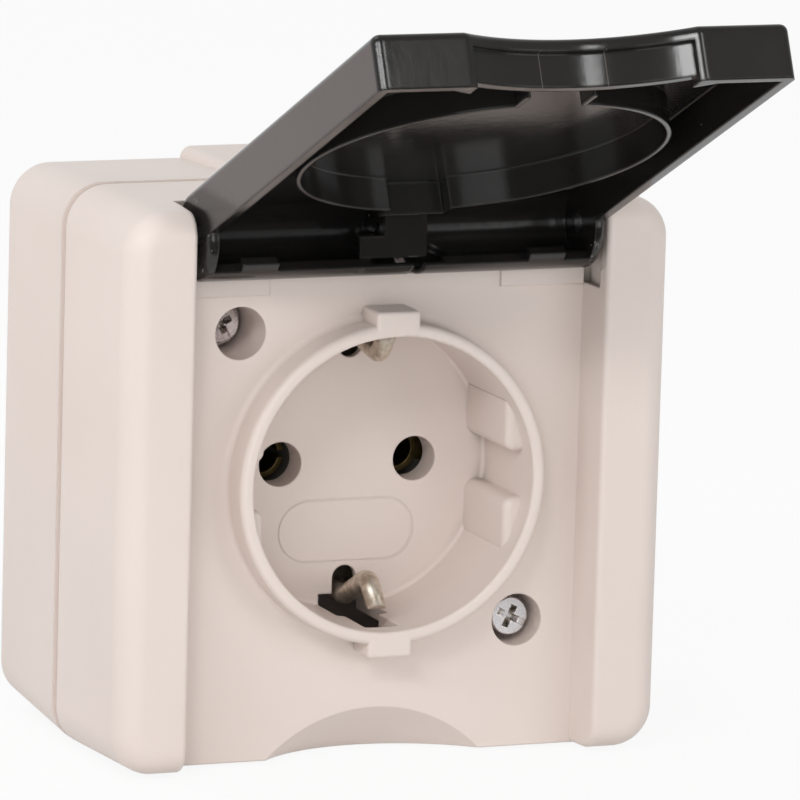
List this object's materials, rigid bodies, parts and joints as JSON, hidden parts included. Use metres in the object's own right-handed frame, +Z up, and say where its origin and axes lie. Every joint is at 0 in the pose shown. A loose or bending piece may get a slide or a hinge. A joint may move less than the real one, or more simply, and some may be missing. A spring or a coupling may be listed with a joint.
{
  "type": "outdoor weatherproof socket",
  "caption": "Surface-mounted weatherproof socket outlet: a grey box and front cover round a recessed plug well with earth clips, closed by a black sprung hinged lid.",
  "frame": {"origin": "centre of the back face that lies on the wall, on the plug well's axis", "axes": "+X to the right seen from the front, +Y into the wall, +Z up"},
  "size_m": [0.077, 0.1073, 0.1053],
  "materials": {
    "housing_plastic": "light warm grey moulded plastic, satin",
    "lid_plastic": "near-black moulded plastic, glossy",
    "seal_rubber": "grey rubber, matt",
    "zinc_steel": "bright zinc-plated steel",
    "spring_steel": "drawn spring steel",
    "carrier_plastic": "dark heat-resistant moulded plastic, matt",
    "nickel_plate": "nickel-plated brass strip, warm silver",
    "contact_brass": "dull tarnished brass"
  },
  "bodies": {
    "housing": {"back_box": "housing_plastic", "cable_grommet": "seal_rubber", "front_cover": "housing_plastic", "cover_seal": "seal_rubber", "cover_screws": "zinc_steel", "screw_washers": "zinc_steel", "hinge_pins": "spring_steel", "contact_carrier": "carrier_plastic", "carrier_screws": "zinc_steel", "line_contact": "contact_brass", "neutral_contact": "contact_brass", "contact_clips": "spring_steel", "line_terminal": "contact_brass", "neutral_terminal": "contact_brass", "earth_terminal": "contact_brass", "earth_strap": "nickel_plate", "clamp_washers": "zinc_steel", "terminal_screws": "zinc_steel"},
    "lid": {"lid": "lid_plastic", "lid_spring": "spring_steel"}
  },
  "joints": [
    {"name": "lid_hinge", "type": "hinge", "parent": "housing", "child": "lid", "pos_m": [0, -0.0436, 0.0333], "axis": [1, 0, 0], "range_deg": [-20, 115], "deforming": ["lid_spring"]}
  ]
}
